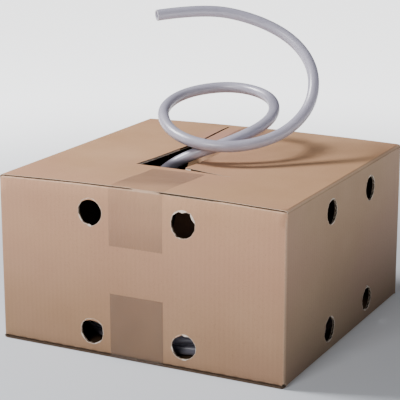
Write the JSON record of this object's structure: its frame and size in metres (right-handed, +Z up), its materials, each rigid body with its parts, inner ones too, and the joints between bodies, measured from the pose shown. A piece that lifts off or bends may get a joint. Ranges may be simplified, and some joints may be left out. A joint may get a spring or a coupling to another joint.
{
  "type": "cable spool box",
  "caption": "Taped corrugated carton with round sight holes and a top hatch, holding a coil of smooth hose whose free end loops out of the hatch.",
  "frame": {"origin": "centre of the carton's underside", "axes": "+Z up; the front face, with the near end of the top tape, towards -Y; the outer top flaps fold from -X and +X"},
  "size_m": [0.4, 0.4002, 0.4155],
  "materials": {
    "board": "uncoated kraft",
    "tape": "clear brown film",
    "hose": "smooth light grey"
  },
  "bodies": {
    "carton": {"front_wall": "board", "right_wall": "board", "back_wall": "board", "left_wall": "board", "glue_tab": "board", "top_flap_left": "board", "top_flap_right": "board", "top_flap_front": "board", "top_flap_back": "board", "bottom_flap_left": "board", "bottom_flap_right": "board", "bottom_flap_front": "board", "bottom_flap_back": "board", "top_tape_front": "tape", "top_tape_back": "tape", "bottom_tape": "tape", "hose_coil": "hose"},
    "tongue": {"dispensing_tongue": "board"},
    "lead": {"hose_lead": "hose"}
  },
  "joints": [
    {"name": "tongue_hinge", "type": "hinge", "parent": "carton", "child": "tongue", "pos_m": [0, 0.0746, 0.217], "axis": [1, 0, 0], "range_deg": [-28, 28]},
    {"name": "hose_payout", "type": "slide", "parent": "carton", "child": "lead", "axis": [0.8592, 0.3321, 0.3891], "range_m": [0, 0.025]}
  ]
}
